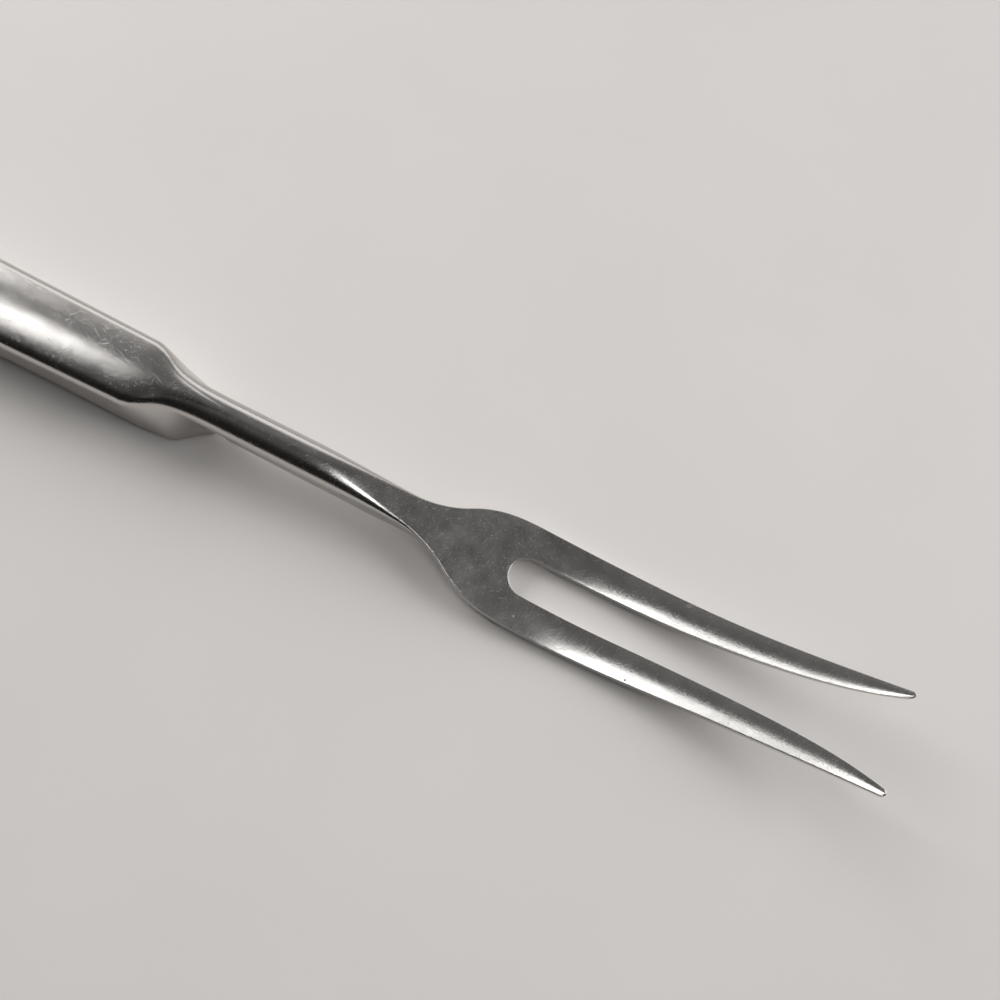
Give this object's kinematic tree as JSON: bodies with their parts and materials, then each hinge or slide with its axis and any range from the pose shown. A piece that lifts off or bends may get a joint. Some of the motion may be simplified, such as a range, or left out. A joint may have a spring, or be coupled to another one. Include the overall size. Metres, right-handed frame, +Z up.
{
  "type": "carving fork",
  "caption": "Carving fork of satin stainless steel: long curved tines, round-rooted slot, slim shank and a crowned hollow handle with a raked nose.",
  "frame": {"origin": "middle of the fork's length and width, on the table that it lies on", "axes": "+X towards the tips of the tines, +Y across the fork, +Z up through the crowned top of the handle"},
  "size_m": [0.272, 0.022, 0.015],
  "materials": {
    "satin_stainless_steel": "satin",
    "brushed_stainless_handle": "satin"
  },
  "bodies": {
    "root": {"fork": "satin_stainless_steel", "upper_handle_shell": "brushed_stainless_handle", "lower_handle_shell": "brushed_stainless_handle"}
  },
  "joints": []
}
